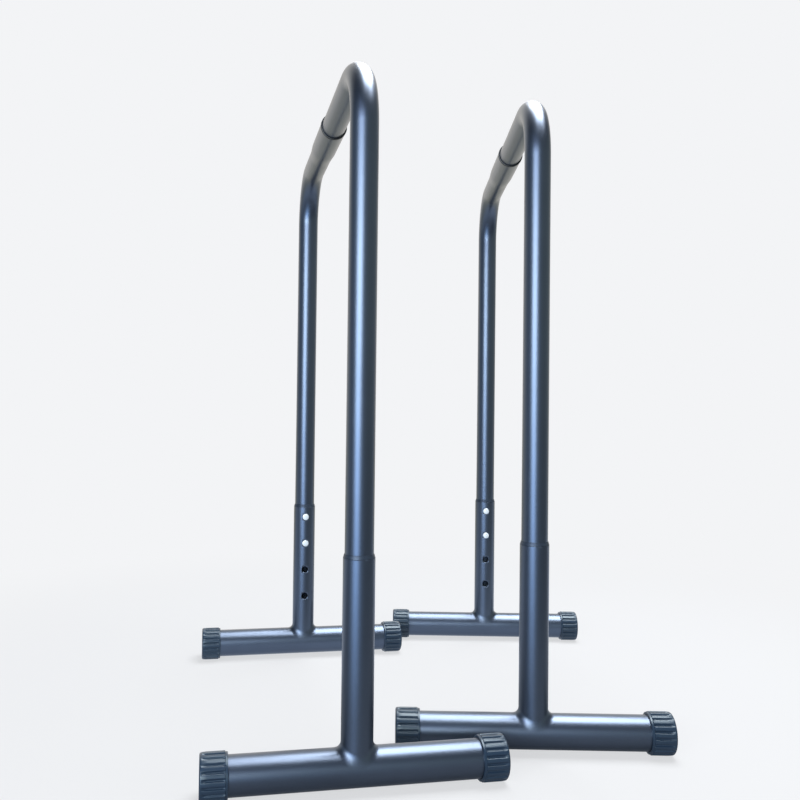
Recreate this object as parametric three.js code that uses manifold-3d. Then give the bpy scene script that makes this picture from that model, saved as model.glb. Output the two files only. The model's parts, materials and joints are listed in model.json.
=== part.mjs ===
// A pair of free-standing dip bars. Each stand is an upside-down U of round steel tube whose two legs
// slide in two sleeves, and each sleeve is welded on top of a cross foot with rubber end caps.
// X runs along the feet, Y from the front leg to the rear leg, Z is up, and the floor is at Z = 0.
import * as THREE from 'three';
import { mergeVertices } from 'three/addons/utils/BufferGeometryUtils.js';
import Module from 'manifold-3d';

const wasm = await Module();
wasm.setup();

// Handle and legs, in millimetres
const barLength = 620;
const handleHeight = 950;
const bendRadius = 88;
const tubeDiameter = 38;
const tubeWall = 1.5;
const legTail = 40;

// Handle joint: the front half plugs into the swaged socket of the rear half
const jointOffset = 32;
const socketWall = 1.2;
const socketLength = 145;
const socketTaperLength = 20;
const socketLap = 0.1;
const plugEndGap = 35;
const jointRingStep = 0.5;
const jointRingWidth = 4;
const jointRingSkirt = 11;

// Screw that locks the handle joint
const screwDiameter = 6;
const screwTail = 3.2;
const screwHeadRim = 2.5;
const screwHeadHeight = 3;
const screwFromRing = 45;

// Sleeves, their welds and their guide bushes
const sleeveWall = 1.2;
const rimAboveTopHole = 19;
const weldLeg = 9;
const weldToeDepth = 0.5;
const bushCollarHeight = 5;
const bushCollarTaper = 1.4;
const bushSkirtToHole = 2;

// Height holes and snap buttons
const lowestHoleHeight = 122;
const holePitch = 52;
const holeDiameter = 12.6;
const buttonReach = 3.6;
const buttonShoulder = 0.5;
const buttonFlangeRim = 1.4;
const buttonFlangeThickness = 1;

// Leaf spring behind each button
const leafWidth = 10;
const leafThickness = 0.8;
const leafDrop = 8;
const leafRise = 9;

// Feet and end caps
const footLength = 396;
const footTubeDiameter = 50;
const footTubeWall = 1.5;
const capWall = 5;
const capLength = 35;
const capEndThickness = 4;
const capOuterChamfer = 2.4;
const capInnerChamfer = 2;
const capGrooveDepth = 1.4;

// Place of the second stand, measured from the first
const secondStandAside = 337;
const secondStandBehind = 72;
const secondStandTurnDegrees = -12.2;

// Clearances: guideRoom is between a leg or the plug and the tube round it
const seatGap = 0.3;
const slideGap = 0.15;
const guideRoom = 0.8;
const cutOverrun = 5;

// Counts
const tubeSides = 20;
const bendSteps = 8;
const holeSides = 12;
const buttonSides = 12;
const domeSteps = 3;
const leafSteps = 8;
const holeCount = 4;
const buttonCount = 2;
const capRibs = 20;

// Shares of a rib's pitch that the groove beside it takes, at its top and at its root
const grooveTopShare = 0.32;
const grooveRootShare = 0.14;

// Shares of the weld's leg, of the socket's taper and of the screw's head
const weldHollowShare = 0.3;
const taperBoreShare = 0.5;
const taperLapShare = 0.75;
const screwRimShare = 0.4;
const screwCrownShare = 0.6;

// Worked out from the sizes above
const tubeRadius = tubeDiameter / 2;
const boreRadius = tubeRadius - tubeWall;
const guideBore = tubeRadius + guideRoom;
const skirtInner = tubeRadius + slideGap;
const skirtOuter = guideBore - slideGap;
const sleeveRadius = guideBore + sleeveWall;
const socketRadius = guideBore + socketWall;
const footRadius = footTubeDiameter / 2;
const capRadius = footRadius + capWall;
const ribTurn = (2 * Math.PI) / capRibs;
const ribHalfAngle = (ribTurn * (1 - grooveTopShare)) / 2;
const footHeight = capRadius * Math.cos(ribHalfAngle);
const topHoleHeight = lowestHoleHeight + holePitch * (holeCount - 1);
const sleeveRimHeight = topHoleHeight + rimAboveTopHole;
const lowButtonHeight = topHoleHeight - holePitch * (buttonCount - 1);
const legBottom = lowButtonHeight - legTail;
const bushSkirt = rimAboveTopHole - holeDiameter / 2 - bushSkirtToHole;
const socketMouth = jointRingWidth / 2 + seatGap - jointOffset;
const taperStart = socketLength - socketTaperLength;
const screwY = socketMouth + screwFromRing;
const buttonRadius = holeDiameter / 2 - seatGap;
const flangeRadius = buttonRadius + buttonFlangeRim;
const flatRatio = Math.cos(Math.PI / tubeSides);

// Materials
const navyPaint = { color: 0x3c4a60, roughness: 0.42, metalness: 0.35 };
const capRubber = { color: 0x222c39, roughness: 0.7, metalness: 0 };
const blackPlastic = { color: 0x15171a, roughness: 0.5, metalness: 0 };
const bushPlastic = { color: 0x2b3440, roughness: 0.5, metalness: 0 };
const brightSteel = { color: 0xe6ebee, roughness: 0.18, metalness: 1 };
const springSteel = { color: 0x8d9296, roughness: 0.35, metalness: 1 };
const blackScrew = { color: 0x1c1e21, roughness: 0.45, metalness: 0.6 };

function makeMesh(name, geometry, finish) {
  const mesh = new THREE.Mesh(geometry, new THREE.MeshStandardMaterial(finish));
  mesh.name = name;
  return mesh;
}

function toSolid(geometry) {
  const bare = geometry.clone();
  bare.deleteAttribute('normal');
  bare.deleteAttribute('uv');
  const merged = mergeVertices(bare);
  const vertProperties = new Float32Array(merged.attributes.position.array);
  const triVerts = new Uint32Array(merged.index.array);
  return new wasm.Manifold(new wasm.Mesh({ numProp: 3, vertProperties, triVerts }));
}

function toGeometry(solid) {
  const mesh = solid.getMesh();
  const geometry = new THREE.BufferGeometry();
  geometry.setAttribute('position', new THREE.BufferAttribute(mesh.vertProperties, 3));
  geometry.setIndex(new THREE.BufferAttribute(mesh.triVerts, 1));
  geometry.computeVertexNormals();
  return geometry;
}

function cutAll(solid, cutters) {
  return cutters.reduce((left, cutter) => left.subtract(toSolid(cutter)), solid);
}

// A profile of [radius, height] pairs, turned round the Z axis
function turnedUp(profile, sides) {
  const points = profile.map(([radius, height]) => new THREE.Vector2(radius, height));
  return new THREE.LatheGeometry(points, sides).rotateX(Math.PI / 2);
}

// A closed profile starts and ends at the same point
function closed(profile) {
  return [...profile, profile[0]];
}

// Half the width that a many-sided bore leaves at a distance to the side of its middle
function boreDepth(bore, aside) {
  return Math.sqrt((bore * flatRatio) ** 2 - aside ** 2);
}

// A path through stations that each hold a point and a direction, so straight runs take one step
class StationPath extends THREE.Curve {
  constructor(stations) {
    super();
    this.stations = stations;
  }
  stationAt(u) {
    return this.stations[Math.round(u * (this.stations.length - 1))];
  }
  getPointAt(u, target = new THREE.Vector3()) {
    return target.copy(this.stationAt(u).point);
  }
  getTangentAt(u, target = new THREE.Vector3()) {
    return target.copy(this.stationAt(u).direction);
  }
}

// Leg, bend and handle of one half. side is -1 for the front half and 1 for the rear half,
// and handleEnd is the Y at which its tube ends
function halfPath(side, handleEnd) {
  const legY = (side * barLength) / 2;
  const bendY = legY - side * bendRadius;
  const bendZ = handleHeight - bendRadius;
  const up = new THREE.Vector3(0, 0, 1);
  const along = new THREE.Vector3(0, -side, 0);
  const stations = [{ point: new THREE.Vector3(0, legY, legBottom), direction: up }];
  for (let step = 0; step <= bendSteps; step += 1) {
    const turn = (Math.PI / 2) * (step / bendSteps);
    const outward = bendRadius * Math.cos(turn) * side;
    const point = new THREE.Vector3(0, bendY + outward, bendZ + bendRadius * Math.sin(turn));
    const direction = new THREE.Vector3(0, -side * Math.sin(turn), Math.cos(turn));
    stations.push({ point, direction });
  }
  stations.push({ point: new THREE.Vector3(0, handleEnd, handleHeight), direction: along });
  return new StationPath(stations);
}

function bentTube(path) {
  const section = new THREE.Shape().absarc(0, 0, tubeRadius, 0, 2 * Math.PI);
  section.holes.push(new THREE.Path().absarc(0, 0, boreRadius, 0, 2 * Math.PI, true));
  const steps = path.stations.length - 1;
  const options = { extrudePath: path, steps, curveSegments: tubeSides / 2 };
  return new THREE.ExtrudeGeometry(section, options);
}

// A round cutter along Y that starts at a leg's axis and leaves through its inner face
function holeCutter(side, height) {
  const length = sleeveRadius + cutOverrun;
  const middle = (side * barLength) / 2 - (side * length) / 2;
  return new THREE.CylinderGeometry(holeDiameter / 2, holeDiameter / 2, length, holeSides)
    .translate(0, middle, height);
}

function buttonHeights() {
  return Array.from({ length: buttonCount }, (unused, index) => topHoleHeight - index * holePitch);
}

function screwHoleCutter() {
  const radius = screwDiameter / 2 + seatGap;
  const length = socketRadius + cutOverrun;
  return new THREE.CylinderGeometry(radius, radius, length, holeSides)
    .rotateX(Math.PI / 2)
    .translate(0, screwY, handleHeight + length / 2);
}

function frontHalf() {
  const plugEnd = socketMouth + taperStart - plugEndGap;
  const tube = toSolid(bentTube(halfPath(-1, plugEnd)));
  const cutters = buttonHeights().map((height) => holeCutter(-1, height));
  return toGeometry(cutAll(tube, [...cutters, screwHoleCutter()]));
}

// The swaged socket: height 0 is its mouth, and its thin end laps the walls of the bent tube
function socketProfile() {
  const thinBore = boreRadius - socketLap;
  return closed([
    [guideBore, 0],
    [socketRadius, 0],
    [socketRadius, taperStart],
    [tubeRadius - socketLap, socketLength],
    [thinBore, socketLength],
    [thinBore, taperStart + socketTaperLength * taperBoreShare],
    [guideBore, taperStart],
  ]);
}

function rearHalf() {
  const tubeEnd = socketMouth + taperStart + socketTaperLength * taperLapShare;
  const socket = turnedUp(socketProfile(), tubeSides)
    .rotateX(-Math.PI / 2)
    .translate(0, socketMouth, handleHeight);
  const tube = toSolid(bentTube(halfPath(1, tubeEnd))).add(toSolid(socket));
  const cutters = buttonHeights().map((height) => holeCutter(1, height));
  return toGeometry(cutAll(tube, [...cutters, screwHoleCutter()]));
}

// A collar that stands on a rim, with a thin skirt between the inner and the outer tube.
// Height 0 is the collar's underside
function guideProfile(collarRadius, collarHeight, taper, skirtLength) {
  return closed([
    [skirtInner, collarHeight],
    [skirtInner, -skirtLength],
    [skirtOuter, -skirtLength],
    [skirtOuter, 0],
    [collarRadius, 0],
    [collarRadius - taper, collarHeight],
  ]);
}

function jointRing() {
  const radius = socketRadius + jointRingStep;
  const profile = guideProfile(radius, jointRingWidth, 0, jointRingSkirt);
  return turnedUp(profile, tubeSides)
    .rotateX(Math.PI / 2)
    .translate(0, -jointOffset + jointRingWidth / 2, handleHeight);
}

function jointScrew() {
  const seat = socketRadius + seatGap;
  const shank = screwDiameter / 2;
  const head = shank + screwHeadRim;
  const tip = boreRadius - screwTail - seat;
  const profile = [
    [0, tip],
    [shank, tip],
    [shank, 0],
    [head, 0],
    [head, screwHeadHeight * screwRimShare],
    [head * screwCrownShare, screwHeadHeight],
    [0, screwHeadHeight],
  ];
  return turnedUp(profile, holeSides)
    .translate(0, screwY, handleHeight + seat);
}

// One radial section of the sleeve and its weld, with the foot's axis at height 0: from the bore's
// foot up to the rim, and down the outside over the weld's hollow bead to its toe, just inside the foot
function sleeveSection(turn) {
  const radial = new THREE.Vector3(Math.cos(turn), Math.sin(turn), 0);
  const rim = sleeveRimHeight - footHeight;
  const root = radial.clone().multiplyScalar(sleeveRadius);
  root.z = Math.sqrt(footRadius ** 2 - root.y ** 2);
  const footNormal = new THREE.Vector3(0, root.y, root.z).normalize();
  const outward = radial.clone().addScaledVector(footNormal, -radial.dot(footNormal)).normalize();
  const hollow = root.clone().addScaledVector(outward, weldLeg * weldHollowShare);
  hollow.z += weldLeg * weldHollowShare;
  const toe = root.clone().addScaledVector(outward, weldLeg);
  const toeShrink = (footRadius - weldToeDepth) / Math.hypot(toe.y, toe.z);
  return [
    radial.clone().multiplyScalar(guideBore),
    radial.clone().multiplyScalar(guideBore).setZ(rim),
    radial.clone().multiplyScalar(sleeveRadius).setZ(rim),
    root.clone().setZ(root.z + weldLeg),
    hollow,
    new THREE.Vector3(toe.x, toe.y * toeShrink, toe.z * toeShrink),
  ];
}

// Closed rings of corners, one ring for each section, joined into one body
function joinSections(sections) {
  const corners = sections[0].length;
  const index = [];
  sections.forEach((section, step) => {
    const next = (step + 1) % sections.length;
    section.forEach((corner, place) => {
      const after = (place + 1) % corners;
      const a = step * corners + place;
      const b = next * corners + place;
      const c = next * corners + after;
      const d = step * corners + after;
      index.push(a, c, b, a, d, c);
    });
  });
  const geometry = new THREE.BufferGeometry().setFromPoints(sections.flat());
  return geometry.setIndex(index);
}

function footCutter() {
  const radius = footRadius + seatGap;
  return new THREE.CylinderGeometry(radius, radius, footLength, tubeSides).rotateZ(Math.PI / 2);
}

function sleeveTube(side) {
  const sections = [];
  for (let step = 0; step < tubeSides; step += 1) {
    sections.push(sleeveSection((2 * Math.PI * step) / tubeSides));
  }
  const welded = toSolid(joinSections(sections)).subtract(toSolid(footCutter()));
  const placed = toGeometry(welded).translate(0, (side * barLength) / 2, footHeight);
  const cutters = [];
  for (let hole = 0; hole < holeCount; hole += 1) {
    cutters.push(holeCutter(side, topHoleHeight - hole * holePitch));
  }
  return toGeometry(cutAll(toSolid(placed), cutters));
}

function sleeveBush(side) {
  const profile = guideProfile(sleeveRadius, bushCollarHeight, bushCollarTaper, bushSkirt);
  return turnedUp(profile, tubeSides)
    .translate(0, (side * barLength) / 2, sleeveRimHeight + seatGap);
}

function footTube(side) {
  const reach = footLength / 2 - capEndThickness - seatGap;
  const bore = footRadius - footTubeWall;
  const profile = closed([[bore, -reach], [footRadius, -reach], [footRadius, reach], [bore, reach]]);
  return turnedUp(profile, tubeSides)
    .rotateY(Math.PI / 2)
    .translate(0, (side * barLength) / 2, footHeight);
}

// The cap's outline: flat ribs with a narrow groove between each two, one rib's flat straight down
function capOutline() {
  const root = capRadius - capGrooveDepth;
  const grooveTopHalf = (ribTurn * grooveTopShare) / 2;
  const grooveRootHalf = (ribTurn * grooveRootShare) / 2;
  const corners = [
    [capRadius, -grooveTopHalf],
    [root, -grooveRootHalf],
    [root, grooveRootHalf],
    [capRadius, grooveTopHalf],
  ];
  const points = [];
  for (let rib = 0; rib < capRibs; rib += 1) {
    const middle = (rib + 1 / 2) * ribTurn - Math.PI / 2;
    corners.forEach(([radius, turn]) => {
      const angle = middle + turn;
      points.push(new THREE.Vector2(radius * Math.cos(angle), radius * Math.sin(angle)));
    });
  }
  return points;
}

// The turned shape that the ribbed blank is cut to: height 0 is the open end
function capEnvelope() {
  const wide = capRadius / Math.cos(Math.PI / capRibs);
  const profile = [
    [0, -cutOverrun],
    [wide - capInnerChamfer, -cutOverrun],
    [wide - capInnerChamfer, 0],
    [wide, capInnerChamfer],
    [wide, capLength - capOuterChamfer],
    [wide - capOuterChamfer, capLength],
    [0, capLength],
  ];
  return turnedUp(profile, capRibs);
}

// end is -1 for the cap at low X and 1 for the cap at high X
function endCap(side, end) {
  const blank = new THREE.ExtrudeGeometry(new THREE.Shape(capOutline()), {
    depth: capLength + cutOverrun,
    steps: 1,
    bevelEnabled: false,
  });
  const boreDepthInCap = capLength - capEndThickness + cutOverrun;
  const bore = turnedUp([
    [0, -cutOverrun],
    [footRadius + seatGap, -cutOverrun],
    [footRadius + seatGap, boreDepthInCap - cutOverrun],
    [0, boreDepthInCap - cutOverrun],
  ], tubeSides);
  const ribbed = toSolid(blank).intersect(toSolid(capEnvelope()));
  const cap = toGeometry(ribbed.subtract(toSolid(bore))).rotateX(Math.PI / 2).rotateZ(Math.PI / 2);
  if (end < 0) {
    cap.rotateZ(Math.PI);
  }
  return cap.translate(end * (footLength / 2 - capLength), (side * barLength) / 2, footHeight);
}

// Heights along a button's axis, measured from the leg's axis towards the inner face
function buttonSizes() {
  const flangeTop = boreDepth(boreRadius, flangeRadius) - seatGap;
  return {
    flangeTop,
    base: flangeTop - buttonFlangeThickness,
    shoulder: sleeveRadius + buttonShoulder,
    tip: sleeveRadius + buttonReach,
  };
}

function snapButton(side, heightAboveFloor) {
  const { flangeTop, base, shoulder, tip } = buttonSizes();
  const profile = [[0, base], [flangeRadius, base], [flangeRadius, flangeTop]];
  profile.push([buttonRadius, flangeTop]);
  for (let step = 0; step < domeSteps; step += 1) {
    const turn = (Math.PI / 2) * (step / domeSteps);
    const height = shoulder + (tip - shoulder) * Math.sin(turn);
    profile.push([buttonRadius * Math.cos(turn), height]);
  }
  profile.push([0, tip]);
  return turnedUp(profile, buttonSides)
    .rotateX((side * Math.PI) / 2)
    .translate(0, (side * barLength) / 2, heightAboveFloor);
}

// A U of spring strip: its back rests on the leg's wall and its front carries the button
function leafSpring(side, height) {
  const front = buttonSizes().base - seatGap;
  const back = boreDepth(boreRadius, leafWidth / 2) - seatGap;
  const outer = (front + back) / 2;
  const middle = (front - back) / 2;
  const outline = new THREE.Shape();
  outline.moveTo(-back, leafRise);
  outline.lineTo(-back, -leafDrop);
  outline.absarc(middle, -leafDrop, outer, Math.PI, 2 * Math.PI, false);
  outline.lineTo(front, leafRise);
  outline.lineTo(front - leafThickness, leafRise);
  outline.lineTo(front - leafThickness, -leafDrop);
  outline.absarc(middle, -leafDrop, outer - leafThickness, 2 * Math.PI, Math.PI, true);
  outline.lineTo(leafThickness - back, leafRise);
  const strip = new THREE.ExtrudeGeometry(outline, {
    depth: leafWidth,
    steps: 1,
    bevelEnabled: false,
    curveSegments: leafSteps / 2,
  });
  strip.translate(0, 0, -leafWidth / 2).rotateX(Math.PI / 2).rotateZ(-side * Math.PI / 2);
  return strip.translate(0, (side * barLength) / 2, height);
}

const sides = [['front', -1], ['rear', 1]];
const ends = [['left', -1], ['right', 1]];
const buttonNames = ['upper', 'lower'];

// One whole stand, with the floor under its middle at the group's own origin
function makeStand(label) {
  const stand = new THREE.Group();
  stand.add(makeMesh(`${label}_front_handle_half`, frontHalf(), navyPaint));
  stand.add(makeMesh(`${label}_rear_handle_half`, rearHalf(), navyPaint));
  stand.add(makeMesh(`${label}_joint_ring`, jointRing(), blackPlastic));
  stand.add(makeMesh(`${label}_joint_screw`, jointScrew(), blackScrew));
  sides.forEach(([place, side]) => {
    stand.add(makeMesh(`${label}_${place}_sleeve`, sleeveTube(side), navyPaint));
    stand.add(makeMesh(`${label}_${place}_bush`, sleeveBush(side), bushPlastic));
    stand.add(makeMesh(`${label}_${place}_foot_tube`, footTube(side), navyPaint));
    ends.forEach(([hand, end]) => {
      stand.add(makeMesh(`${label}_${place}_cap_${hand}`, endCap(side, end), capRubber));
    });
    buttonHeights().forEach((height, index) => {
      const name = `${label}_${place}_${buttonNames[index]}`;
      stand.add(makeMesh(`${name}_button`, snapButton(side, height), brightSteel));
      stand.add(makeMesh(`${name}_spring`, leafSpring(side, height), springSteel));
    });
  });
  return stand;
}

const firstStand = makeStand('left');
const secondStand = makeStand('right');
secondStand.rotation.z = THREE.MathUtils.degToRad(secondStandTurnDegrees);
secondStand.position.set(secondStandAside, secondStandBehind, 0);

const dipStation = new THREE.Group();
dipStation.add(firstStand, secondStand);

// The origin is on the floor, under the middle of the pair's own box
const middle = new THREE.Box3().setFromObject(dipStation, true).getCenter(new THREE.Vector3());
dipStation.position.set(-middle.x, -middle.y, 0);

export default dipStation;
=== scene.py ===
"""The looks of a pair of free-standing dip bars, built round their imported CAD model."""
import json
import math

import bmesh
import bpy
from bpy.props import FloatProperty, FloatVectorProperty, IntProperty, PointerProperty
from mathutils import Matrix, Vector


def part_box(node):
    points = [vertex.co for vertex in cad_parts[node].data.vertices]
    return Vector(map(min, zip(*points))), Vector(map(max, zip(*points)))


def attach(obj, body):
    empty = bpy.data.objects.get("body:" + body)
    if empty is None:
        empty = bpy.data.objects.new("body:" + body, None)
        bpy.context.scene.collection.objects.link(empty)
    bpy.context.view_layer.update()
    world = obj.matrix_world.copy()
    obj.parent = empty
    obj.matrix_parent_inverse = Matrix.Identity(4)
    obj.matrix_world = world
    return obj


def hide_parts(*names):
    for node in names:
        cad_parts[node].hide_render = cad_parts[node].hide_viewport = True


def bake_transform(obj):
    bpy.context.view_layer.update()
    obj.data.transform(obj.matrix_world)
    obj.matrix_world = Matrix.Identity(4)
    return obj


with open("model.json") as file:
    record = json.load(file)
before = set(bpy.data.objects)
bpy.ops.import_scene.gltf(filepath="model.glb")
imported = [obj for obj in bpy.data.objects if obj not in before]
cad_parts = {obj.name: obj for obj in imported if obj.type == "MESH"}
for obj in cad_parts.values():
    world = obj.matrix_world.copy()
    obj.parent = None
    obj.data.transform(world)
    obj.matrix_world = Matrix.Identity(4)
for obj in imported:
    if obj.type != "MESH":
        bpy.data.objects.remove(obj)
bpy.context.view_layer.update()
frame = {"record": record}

bl_info = {
    "name": "Dip station",
    "version": (1, 0, 0),
    "blender": (4, 5, 0),
    "location": "3D View > Sidebar > Dip station",
    "description": "Models and finishes the tubes, feet, caps and buttons of a pair of dip bars",
    "category": "Add Mesh",
}

MM = 0.001
X_AXIS = Vector((1, 0, 0))
Y_AXIS = Vector((0, 1, 0))
Z_AXIS = Vector((0, 0, 1))
# The turn that faces a new circle along each axis
FACING = {"X": (0, math.pi / 2, 0), "Y": (-math.pi / 2, 0, 0), "Z": (0, 0, 0)}
AXES = {"X": X_AXIS, "Y": Y_AXIS, "Z": Z_AXIS}
STANDS = ("left", "right")
ENDS = ("front", "rear")
BUTTONS = ("upper", "lower")

# Up to which angle neighbouring faces are shaded as one
SMOOTH_DEGREES = 35
CAP_SMOOTH_DEGREES = 38
WELD_SMOOTH_DEGREES = 40
# Vertices nearer to each other than this become one where a ring's profile closes
MERGE_DISTANCE = 0.01 * MM
# What keeps two pieces that meet from touching
FIT_GAP = 0.3 * MM


def linear(hex_colour):
    """The linear red, green, blue and alpha of an sRGB hex colour."""
    shares = [int(hex_colour[i:i + 2], 16) / 255 for i in (1, 3, 5)]
    return (*[s / 12.92 if s <= 0.04045 else ((s + 0.055) / 1.055) ** 2.4 for s in shares], 1.0)


def middle_of(node):
    """The middle of a CAD node's box."""
    low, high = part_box(node)
    return (low + high) / 2


def length_property(name, description, millimetres):
    """A size in metres that the sidebar shows."""
    return FloatProperty(
        name=name, description=description, default=millimetres * MM,
        min=0.0, precision=4, subtype="DISTANCE", unit="LENGTH",
    )


def colour_property(name, description, hex_colour):
    """A colour that the sidebar shows."""
    return FloatVectorProperty(
        name=name, description=description, default=linear(hex_colour),
        size=4, min=0.0, max=1.0, subtype="COLOR",
    )


class DipStationSizes(bpy.types.PropertyGroup):
    """The sizes that the looks are modelled from."""

    handle_height: length_property("Handle height", "Floor to the handle's axis", 950)
    leg_distance: length_property("Leg distance", "From one leg's axis to the other's", 620)
    leg_bottom: length_property("Leg bottom", "Height of the legs' open ends", 186)
    bend_radius: length_property("Bend radius", "Radius of the bends, at the tube's axis", 88)
    tube_diameter: length_property("Tube diameter", "Outside of the handle's tube", 38)
    tube_wall: length_property("Tube wall", "Wall of the handle's tube", 1.5)
    plug_end: length_property("Plug end", "From the middle to the plug's end in the socket", 60.3)
    socket_diameter: length_property("Socket diameter", "Outside of the swaged socket", 42)
    socket_wall: length_property("Socket wall", "Wall of the socket's half", 1.2)
    socket_mouth: length_property("Socket mouth", "From the middle to the socket's mouth", 29.7)
    swage_start: length_property("Swage start", "From the middle to the swage's wide end", 77.3)
    swage_length: length_property("Swage length", "Length of the taper from socket to tube", 56)
    ring_diameter: length_property("Ring diameter", "Outside of the black joint ring", 43)
    ring_width: length_property("Ring width", "Visible width of the joint ring", 4)
    guide_bore: length_property("Guide bore", "Inside diameter of the sleeves and the socket", 39.6)
    skirt_length: length_property("Skirt length", "How far the joint ring's skirt goes in", 11)
    screw_height: length_property("Screw height", "Height of the screw's head", 3)
    screw_place: length_property("Screw place", "From the middle back to the screw", 15.3)
    sleeve_diameter: length_property("Sleeve diameter", "Outside of the sleeves", 42)
    sleeve_top: length_property("Sleeve top", "Height of the sleeve's rim above the floor", 297)
    weld_leg: length_property("Weld leg", "Height and width of the weld's fillet", 9)
    bush_height: length_property("Bush height", "Height of the collar on the sleeve's mouth", 5)
    hole_diameter: length_property("Hole diameter", "Diameter of the height holes", 12.6)
    hole_pitch: length_property("Hole pitch", "Distance from one height hole to the next", 52)
    top_hole: length_property("Top hole", "Height of the highest hole", 278)
    button_diameter: length_property("Button diameter", "Diameter of the snap buttons", 12)
    button_reach: length_property("Button reach", "How far a button stands out of its sleeve", 3.6)
    leaf_width: length_property("Leaf width", "Width of the spring strip behind a button", 10)
    leaf_thickness: length_property("Leaf thickness", "Thickness of the spring strip", 0.8)
    leaf_rise: length_property("Leaf rise", "From a button's axis up to the strip's ends", 9)
    leaf_drop: length_property("Leaf drop", "From a button's axis down to the strip's bend", 8)
    foot_length: length_property("Foot length", "From cap end to cap end", 396)
    foot_diameter: length_property("Foot diameter", "Outside of the foot tube", 50)
    cap_length: length_property("Cap length", "Length of an end cap", 35)
    cap_end: length_property("Cap end", "Thickness of an end cap's closed end", 4)
    groove_depth: length_property("Groove depth", "Depth of the grooves between a cap's ribs", 2.2)
    hole_count: IntProperty(name="Holes", description="Height holes in a sleeve", default=4, min=1)
    rib_count: IntProperty(name="Ribs", description="Ribs round an end cap", default=20, min=8)


def sizes_now():
    """The sizes that the sidebar shows."""
    return bpy.context.scene.dip_station_sizes


class DipStationColours(bpy.types.PropertyGroup):
    """The colours of the finishes and of the stage."""

    paint: colour_property("Paint", "Metallic powder coat on every steel tube", "#505c6e")
    rubber: colour_property("Cap rubber", "Moulded end caps", "#1d2d40")
    ring: colour_property("Ring plastic", "Joint ring", "#15171a")
    bush: colour_property("Bush plastic", "Bush in the sleeve's mouth", "#3f4a5a")
    button: colour_property("Button steel", "Nickel-plated snap buttons", "#f1f5f7")
    spring: colour_property("Spring steel", "Leaf springs inside the legs", "#8d9296")
    screw: colour_property("Screw steel", "Black oxide screws", "#1c1e21")
    backdrop: colour_property("Backdrop", "Floor and background", "#f3f4f6")


# Modelling tools

def start_piece(primitive, name, **settings):
    """Adds a primitive with nothing else selected, applies its place and opens it for edits."""
    bpy.ops.object.select_all(action="DESELECT")
    primitive(**settings)
    piece = bpy.context.active_object
    piece.name = name
    bpy.ops.object.transform_apply(location=True, rotation=True, scale=True)
    bpy.ops.object.mode_set(mode="EDIT")
    return piece


def select_where(piece, test):
    """Selects the vertices whose place passes the test, and the edges and faces that they span."""
    bpy.ops.mesh.select_mode(type="VERT")
    bpy.ops.mesh.select_all(action="DESELECT")
    body = bmesh.from_edit_mesh(piece.data)
    for vertex in body.verts:
        vertex.select = test(vertex.co)
    body.select_flush(True)
    bmesh.update_edit_mesh(piece.data)


def extrude_by(offset):
    """Extrudes the selected edges by an offset."""
    bpy.ops.mesh.extrude_region_move(TRANSFORM_OT_translate={"value": tuple(offset)})


def widen(factor, axis, centre):
    """Scales the selection round an axis and leaves its length alone."""
    scale = [1.0 if AXES[axis][i] else factor for i in range(3)]
    bpy.ops.transform.resize(value=scale, center_override=centre)


def face_outwards():
    """Turns all faces outwards and leaves edit mode."""
    bpy.ops.mesh.select_all(action="SELECT")
    bpy.ops.mesh.normals_make_consistent(inside=False)
    bpy.ops.object.mode_set(mode="OBJECT")


def shade(degrees=SMOOTH_DEGREES):
    """Shades the active piece smooth up to an angle."""
    bpy.ops.object.shade_smooth_by_angle(angle=math.radians(degrees))


def run_profile(axis, centre, profile):
    """Extrudes the selected ring through a profile of (radius, height) pairs along an axis."""
    for (radius, height), (next_radius, next_height) in zip(profile, profile[1:]):
        extrude_by(AXES[axis] * (next_height - height))
        if next_radius != radius:
            widen(next_radius / radius, axis, centre + AXES[axis] * next_height)


def turned_piece(name, sides, axis, centre, profile, ring=False):
    """A turned body from a profile of (radius, height) pairs.

    A ring's profile ends where it starts. Any other body is closed at both ends."""
    radius, height = profile[0]
    piece = start_piece(
        bpy.ops.mesh.primitive_circle_add, name, vertices=sides, radius=radius,
        location=centre + AXES[axis] * height, rotation=FACING[axis],
    )
    run_profile(axis, centre, profile)
    bpy.ops.mesh.select_all(action="SELECT")
    if ring:
        bpy.ops.mesh.remove_doubles(threshold=MERGE_DISTANCE)
    else:
        bpy.ops.mesh.fill_holes(sides=0)
    face_outwards()
    shade()
    return piece


def apply_modifier(piece, kind, **settings):
    """Adds a modifier to a piece, sets it and applies it."""
    bpy.ops.object.select_all(action="DESELECT")
    piece.select_set(True)
    bpy.context.view_layer.objects.active = piece
    bpy.ops.object.modifier_add(type=kind)
    modifier = piece.modifiers[-1]
    for name, value in settings.items():
        setattr(modifier, name, value)
    bpy.ops.object.modifier_apply(modifier=modifier.name)


def cut_hole(piece, axis, start, length, radius, sides=48):
    """Cuts a hole from a start point along an axis. A negative length goes the other way."""
    cutter = turned_piece("hole_cutter", sides, axis, start, [(radius, 0), (radius, length)])
    apply_modifier(piece, "BOOLEAN", operation="DIFFERENCE", solver="EXACT", object=cutter)
    bpy.data.objects.remove(cutter)


def wall(piece, thickness, smooth_degrees=SMOOTH_DEGREES):
    """Gives an open skin its wall, inwards, and shades it."""
    face_outwards()
    apply_modifier(piece, "SOLIDIFY", thickness=thickness, offset=-1, use_even_offset=True)
    shade(smooth_degrees)


# Places of the pieces

def stand_matrix(stand):
    """From a stand's own frame to the shared one. Its origin is on the floor under its middle."""
    front, rear = (middle_of(f"{stand}_{end}_foot_tube") for end in ENDS)
    along = rear - front
    middle = (front + rear) / 2
    turn = math.atan2(along.y, along.x) - math.pi / 2
    return Matrix.Translation((middle.x, middle.y, 0)) @ Matrix.Rotation(turn, 4, "Z")


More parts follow.
